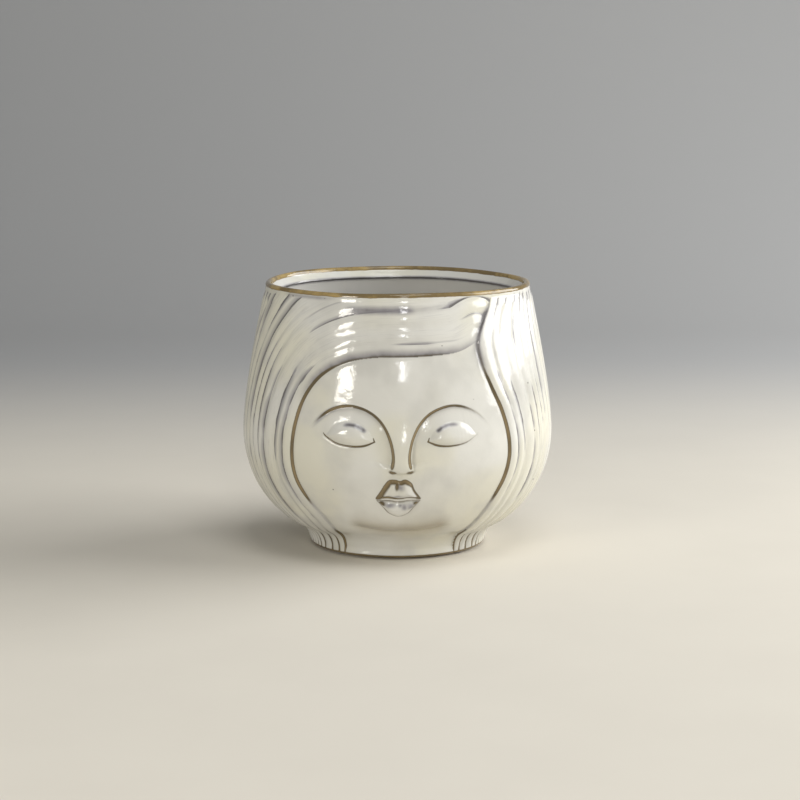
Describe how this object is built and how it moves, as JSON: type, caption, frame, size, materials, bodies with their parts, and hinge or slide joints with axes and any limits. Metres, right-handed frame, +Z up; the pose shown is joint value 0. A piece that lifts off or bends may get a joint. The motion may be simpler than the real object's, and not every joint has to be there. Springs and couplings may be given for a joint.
{
  "type": "head planter",
  "caption": "Round-bellied stoneware plant pot with a relief face and swept hair, a wide rounded lip, a drain hole with a soft pull-out plug, and felt feet under its foot ring.",
  "frame": {"origin": "middle of the resting plane, under the centre of the foot", "axes": "+Z up along the pot's axis, the face looks along -Y, +X to the right when facing the face"},
  "size_m": [0.16, 0.1603, 0.137],
  "materials": {
    "glazed_stoneware": "glossy off-white reactive glaze that breaks to gold-brown on edges",
    "silicone_rubber": "matt grey silicone",
    "felt": "pressed grey-brown felt"
  },
  "bodies": {
    "planter": {"pot": "glazed_stoneware", "felt_foot_1": "felt", "felt_foot_2": "felt", "felt_foot_3": "felt", "felt_foot_4": "felt"},
    "plug": {"drain_plug": "silicone_rubber"}
  },
  "joints": [
    {"name": "plug_lift", "type": "slide", "parent": "planter", "child": "plug", "axis": [0, 0, 1], "range_m": [0, 0.14]}
  ]
}
